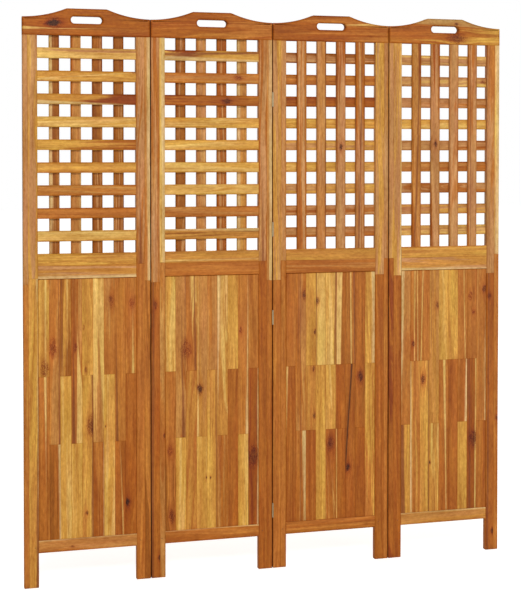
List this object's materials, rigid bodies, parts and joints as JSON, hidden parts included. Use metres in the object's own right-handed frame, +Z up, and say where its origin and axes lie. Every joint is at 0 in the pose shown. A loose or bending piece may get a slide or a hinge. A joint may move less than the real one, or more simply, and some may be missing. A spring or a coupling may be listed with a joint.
{
  "type": "folding room divider",
  "caption": "Folding screen of hinged wooden panels, each with an open slat lattice over a closed board of upright staves, short feet and a crested top rail with a handle slot.",
  "frame": {"origin": "on the floor, at the middle of the open row of panels and of its overall thickness", "axes": "+X along the open row from the first panel to the last, +Y from the front face to the back, +Z up"},
  "size_m": [1.609, 0.0306, 1.8],
  "materials": {
    "frame_wood": "oiled acacia, satin",
    "lattice_wood": "oiled acacia, satin",
    "board_wood": "oiled acacia, satin",
    "dowel_wood": "raw beech, matte",
    "pin_steel": "plain steel, dulled",
    "hinge_steel": "zinc-plated steel, satin",
    "screw_steel": "zinc-plated steel, satin"
  },
  "bodies": {
    "panel_1": {"panel_1_left_stile": "frame_wood", "panel_1_right_stile": "frame_wood", "panel_1_top_rail": "frame_wood", "panel_1_middle_rail": "frame_wood", "panel_1_bottom_rail": "frame_wood", "panel_1_board_staves": "board_wood", "panel_1_cross_slats": "lattice_wood", "panel_1_upright_slats": "lattice_wood", "panel_1_dowels": "dowel_wood", "panel_1_tenon_pins": "pin_steel", "hinge_line_1_left_leaves": "hinge_steel", "hinge_line_1_left_screws": "screw_steel"},
    "panel_2": {"panel_2_left_stile": "frame_wood", "panel_2_right_stile": "frame_wood", "panel_2_top_rail": "frame_wood", "panel_2_middle_rail": "frame_wood", "panel_2_bottom_rail": "frame_wood", "panel_2_board_staves": "board_wood", "panel_2_cross_slats": "lattice_wood", "panel_2_upright_slats": "lattice_wood", "panel_2_dowels": "dowel_wood", "panel_2_tenon_pins": "pin_steel", "hinge_line_1_right_leaves": "hinge_steel", "hinge_line_1_right_screws": "screw_steel", "hinge_line_1_pins": "hinge_steel", "hinge_line_2_left_leaves": "hinge_steel", "hinge_line_2_left_screws": "screw_steel"},
    "panel_3": {"panel_3_left_stile": "frame_wood", "panel_3_right_stile": "frame_wood", "panel_3_top_rail": "frame_wood", "panel_3_middle_rail": "frame_wood", "panel_3_bottom_rail": "frame_wood", "panel_3_board_staves": "board_wood", "panel_3_cross_slats": "lattice_wood", "panel_3_upright_slats": "lattice_wood", "panel_3_dowels": "dowel_wood", "panel_3_tenon_pins": "pin_steel", "hinge_line_2_right_leaves": "hinge_steel", "hinge_line_2_right_screws": "screw_steel", "hinge_line_2_pins": "hinge_steel", "hinge_line_3_left_leaves": "hinge_steel", "hinge_line_3_left_screws": "screw_steel"},
    "panel_4": {"panel_4_left_stile": "frame_wood", "panel_4_right_stile": "frame_wood", "panel_4_top_rail": "frame_wood", "panel_4_middle_rail": "frame_wood", "panel_4_bottom_rail": "frame_wood", "panel_4_board_staves": "board_wood", "panel_4_cross_slats": "lattice_wood", "panel_4_upright_slats": "lattice_wood", "panel_4_dowels": "dowel_wood", "panel_4_tenon_pins": "pin_steel", "hinge_line_3_right_leaves": "hinge_steel", "hinge_line_3_right_screws": "screw_steel", "hinge_line_3_pins": "hinge_steel"}
  },
  "joints": [
    {"name": "fold_1", "type": "hinge", "parent": "panel_2", "child": "panel_1", "pos_m": [-0.403, 0.0128, 0.9], "axis": [0, 0, -1], "range_deg": [0, 180]},
    {"name": "fold_2", "type": "hinge", "parent": "panel_2", "child": "panel_3", "pos_m": [0, -0.0128, 0.9], "axis": [0, 0, -1], "range_deg": [0, 180]},
    {"name": "fold_3", "type": "hinge", "parent": "panel_3", "child": "panel_4", "pos_m": [0.403, 0.0128, 0.9], "axis": [0, 0, 1], "range_deg": [0, 180]}
  ]
}
